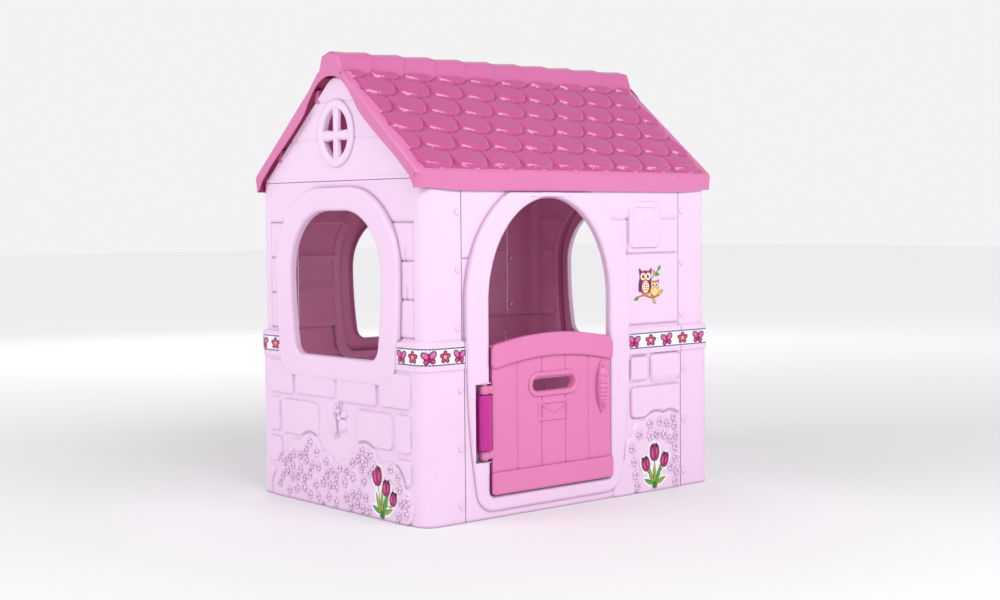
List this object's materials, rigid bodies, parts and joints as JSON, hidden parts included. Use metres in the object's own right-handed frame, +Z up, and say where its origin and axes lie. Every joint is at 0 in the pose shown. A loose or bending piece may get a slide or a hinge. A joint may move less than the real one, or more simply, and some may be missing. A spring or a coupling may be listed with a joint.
{
  "type": "plastic playhouse",
  "caption": "Toddlers' one-room playhouse of moulded panels with a gabled tiled roof, an arched doorway with a hinged half door, open windows and printed stickers",
  "frame": {"origin": "on the ground, under the middle of the house", "axes": "+X along the long front, to the right of someone facing the door; +Y from the door to the back wall; +Z up"},
  "size_m": [1.08, 0.81, 1.2239],
  "materials": {
    "wall": "moulded, softly glossy pale pink-lilac",
    "gable": "moulded, softly glossy pink",
    "roof": "moulded, glossy deep pink",
    "door": "moulded, glossy bright pink",
    "sleeve": "glossy magenta",
    "pin": "smooth pink",
    "rivet": "smooth pale pink",
    "belt_film": "printed film, white ground with pink shapes",
    "film": "printed film with a white cut edge"
  },
  "bodies": {
    "house": {"front_wall": "wall", "back_wall": "wall", "left_side_wall": "wall", "right_side_wall": "wall", "left_gable": "gable", "right_gable": "gable", "roof_front": "roof", "roof_back": "roof", "hinge_sleeve": "sleeve", "hinge_pin": "pin", "front_left_rivets": "rivet", "front_right_rivets": "rivet", "back_left_rivets": "rivet", "back_right_rivets": "rivet", "front_left_belt_sticker": "belt_film", "front_right_belt_sticker": "belt_film", "back_left_belt_sticker": "belt_film", "back_right_belt_sticker": "belt_film", "front_tulip_sticker": "film", "left_tulip_sticker": "film", "right_tulip_sticker": "film", "owl_sticker": "film", "ladybird_sticker": "film", "snail_sticker": "film"},
    "door": {"door_panel": "door"}
  },
  "joints": [
    {"name": "door_hinge", "type": "hinge", "parent": "house", "child": "door", "pos_m": [-0.343, -0.379, 0.2525], "axis": [0, 0, -1], "range_deg": [0, 105]}
  ]
}
